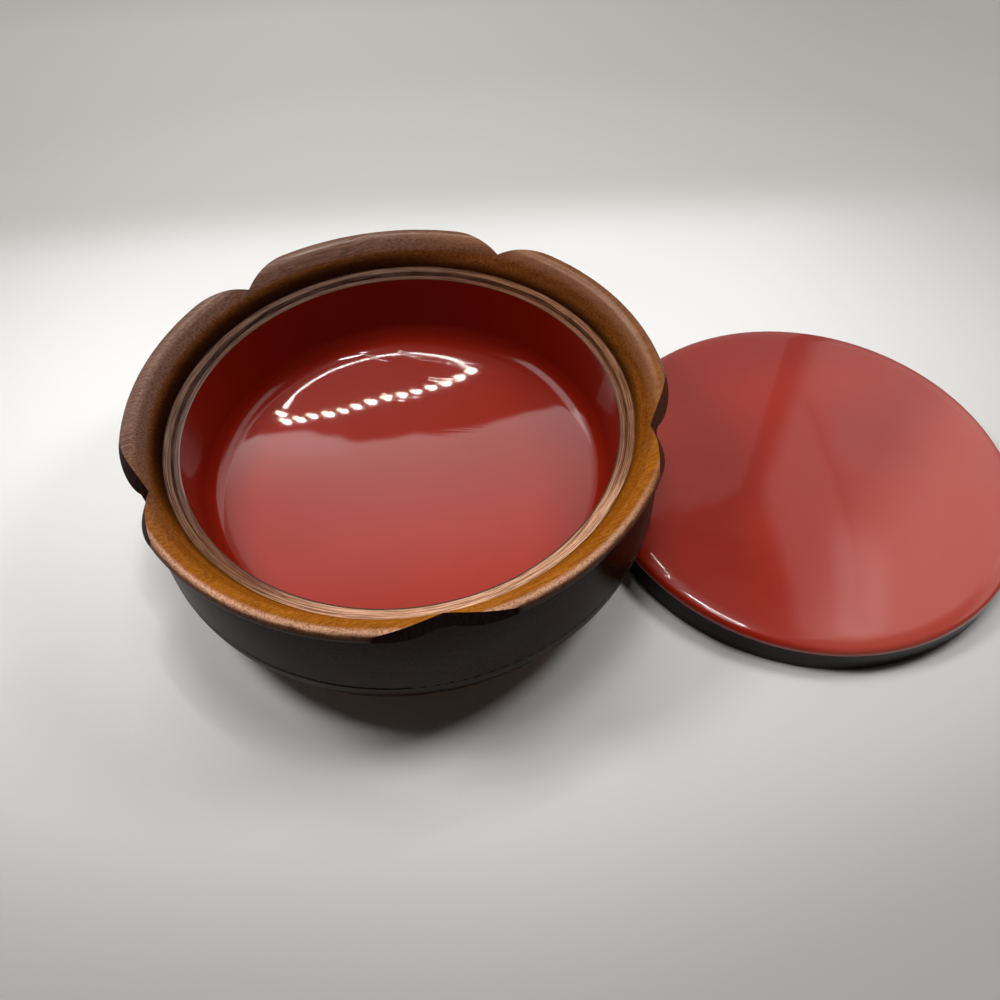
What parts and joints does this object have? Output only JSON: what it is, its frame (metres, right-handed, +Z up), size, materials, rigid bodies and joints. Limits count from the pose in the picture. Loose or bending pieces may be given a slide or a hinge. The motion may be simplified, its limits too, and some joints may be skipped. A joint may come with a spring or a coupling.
{
  "type": "lidded bowl",
  "caption": "Turned wooden bowl with a notched petal rim, a stepped lid seat and a red lacquered inside; its flat drop-in lid lies beside it, one edge under the belly.",
  "frame": {"origin": "where the bowl's turning axis meets the surface that it stands on", "axes": "+Z up along the bowl's axis, +X from the bowl towards the lid lying beside it"},
  "size_m": [0.4061, 0.2306, 0.083],
  "materials": {
    "dark_wood": "dark brown stain under clear gloss lacquer, amber on the cove",
    "red_lacquer": "deep red high gloss lacquer",
    "bare_wood": "plain turned wood, closed in by the lacquer",
    "lid_red_lacquer": "brick red gloss lacquer",
    "black_lacquer": "black gloss lacquer"
  },
  "bodies": {
    "bowl": {"bowl_body": "dark_wood", "bowl_lining": "red_lacquer"},
    "lid": {"lid_core": "bare_wood", "lid_top_coat": "lid_red_lacquer", "lid_under_coat": "black_lacquer"}
  },
  "joints": [
    {"name": "lid_slide", "type": "slide", "parent": "bowl", "child": "lid", "axis": [1, 0, 0], "range_m": [0, 0.12]}
  ]
}
